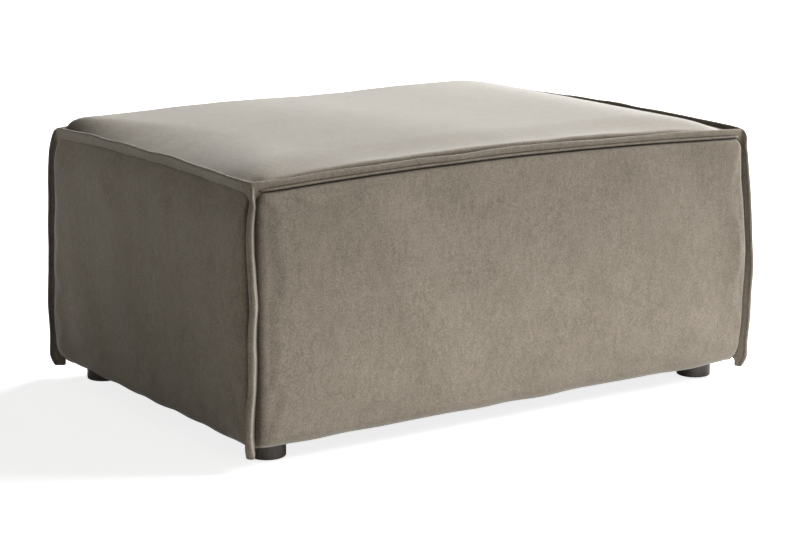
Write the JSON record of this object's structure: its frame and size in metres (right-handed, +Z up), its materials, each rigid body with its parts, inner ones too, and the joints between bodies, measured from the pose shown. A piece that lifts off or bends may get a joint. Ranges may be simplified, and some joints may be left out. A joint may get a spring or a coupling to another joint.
{
  "type": "ottoman",
  "caption": "Rectangular upholstered footstool with a crowned seat, outward-standing flange seams and low round dark feet.",
  "frame": {"origin": "on the floor, under the middle of the stool", "axes": "+X along the long sides towards the right, +Y towards the back, +Z up"},
  "size_m": [0.9916, 0.6856, 0.46],
  "materials": {
    "velvet": "matte",
    "foam": "matte",
    "wadding": "matte",
    "felt": "matte",
    "frame_board": "matte",
    "plywood": "matte",
    "foot_finish": "satin",
    "glide_plastic": "matte",
    "dust_cloth": "matte",
    "spring_steel": "satin",
    "zinc_steel": "satin"
  },
  "bodies": {
    "root": {"back_left_corner_flange": "velvet", "back_left_foot": "foot_finish", "back_left_foot_glide": "glide_plastic", "back_left_foot_plate": "plywood", "back_left_post": "frame_board", "back_panel": "velvet", "back_rail": "frame_board", "back_right_corner_flange": "velvet", "back_right_foot": "foot_finish", "back_right_foot_glide": "glide_plastic", "back_right_foot_plate": "plywood", "back_right_post": "frame_board", "back_side_pad": "foam", "back_top_flange": "velvet", "centre_rail": "frame_board", "clip_nails": "zinc_steel", "dust_cover": "dust_cloth", "fibre_wadding": "wadding", "foot_studs": "zinc_steel", "frame_screws": "zinc_steel", "front_left_corner_flange": "velvet", "front_left_foot": "foot_finish", "front_left_foot_glide": "glide_plastic", "front_left_foot_plate": "plywood", "front_left_post": "frame_board", "front_panel": "velvet", "front_rail": "frame_board", "front_right_corner_flange": "velvet", "front_right_foot": "foot_finish", "front_right_foot_glide": "glide_plastic", "front_right_foot_plate": "plywood", "front_right_post": "frame_board", "front_side_pad": "foam", "front_top_flange": "velvet", "left_panel": "velvet", "left_rail": "frame_board", "left_side_pad": "foam", "left_top_flange": "velvet", "right_panel": "velvet", "right_rail": "frame_board", "right_side_pad": "foam", "right_top_flange": "velvet", "seat_foam_block": "foam", "soft_foam_layer": "foam", "spring_1": "spring_steel", "spring_2": "spring_steel", "spring_3": "spring_steel", "spring_4": "spring_steel", "spring_5": "spring_steel", "spring_6": "spring_steel", "spring_clips": "spring_steel", "spring_felt": "felt", "spring_tie_wires": "spring_steel", "staples": "zinc_steel", "tee_nuts": "zinc_steel", "top_panel": "velvet"}
  },
  "joints": []
}
